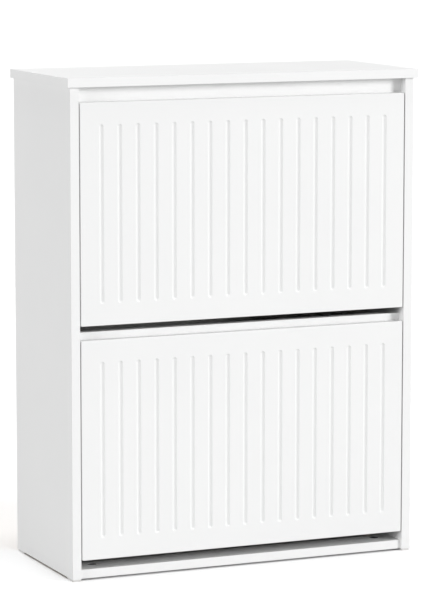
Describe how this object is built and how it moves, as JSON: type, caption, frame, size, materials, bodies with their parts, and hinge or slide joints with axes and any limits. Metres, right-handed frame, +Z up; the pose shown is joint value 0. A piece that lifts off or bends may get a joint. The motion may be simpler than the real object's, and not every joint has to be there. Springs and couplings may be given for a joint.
{
  "type": "shoe cabinet",
  "caption": "Slim free-standing white shoe cabinet with two grooved tilting fronts, each carrying a rack with sloping shoe shelves.",
  "frame": {"origin": "on the floor, under the middle of the cabinet's overall box", "axes": "+X to the cabinet's right as seen from the front, +Y to the back (towards the wall), +Z up; the flaps face -Y"},
  "size_m": [0.632, 0.272, 0.828],
  "materials": {
    "white_melamine": "satin white melamine on 15 mm particle board, with matching edge band",
    "white_foil": "satin white foil wrapped over 15 mm fibreboard, grooved",
    "hardboard": "thin hardboard, matt brown",
    "white_hardboard": "thin hardboard, painted white",
    "rack_plastic": "moulded white plastic, fine texture",
    "grey_nylon": "moulded or extruded grey plastic",
    "pale_nylon": "moulded pale grey plastic",
    "zinc_alloy": "dark die-cast zinc",
    "plated_steel": "bright zinc-plated steel",
    "beech": "fluted beech",
    "clear_rubber": "clear soft bumper"
  },
  "bodies": {
    "carcass": {"side_panel_left": "white_melamine", "side_panel_right": "white_melamine", "top_board": "white_melamine", "front_base_rail": "white_melamine", "rear_base_rail": "white_melamine", "top_front_rail": "white_melamine", "middle_front_rail": "white_melamine", "wall_rail": "white_melamine", "middle_rear_rail": "white_melamine", "back_panel_upper": "hardboard", "back_panel_lower": "hardboard", "foot_glides": "pale_nylon", "cam_locks": "zinc_alloy", "cam_bolts": "plated_steel", "wood_dowels": "beech", "back_nails": "plated_steel", "pivot_bushes": "grey_nylon", "stop_pins": "plated_steel", "flap_bumpers": "clear_rubber"},
    "upper_flap": {"upper_flap_panel": "white_foil", "upper_rack_side_left": "rack_plastic", "upper_rack_side_right": "rack_plastic", "upper_front_shelf": "white_hardboard", "upper_rear_shelf": "white_hardboard", "upper_front_toe_tray": "grey_nylon", "upper_rear_toe_tray": "grey_nylon", "upper_pivot_pins": "plated_steel", "upper_rack_screws": "plated_steel"},
    "lower_flap": {"lower_flap_panel": "white_foil", "lower_rack_side_left": "rack_plastic", "lower_rack_side_right": "rack_plastic", "lower_front_shelf": "white_hardboard", "lower_rear_shelf": "white_hardboard", "lower_front_toe_tray": "grey_nylon", "lower_rear_toe_tray": "grey_nylon", "lower_pivot_pins": "plated_steel", "lower_rack_screws": "plated_steel"}
  },
  "joints": [
    {"name": "upper_flap_tilt", "type": "hinge", "parent": "carcass", "child": "upper_flap", "pos_m": [0, -0.108, 0.453], "axis": [1, 0, 0], "range_deg": [0, 42]},
    {"name": "lower_flap_tilt", "type": "hinge", "parent": "carcass", "child": "lower_flap", "pos_m": [0, -0.108, 0.064], "axis": [1, 0, 0], "range_deg": [0, 42]}
  ]
}
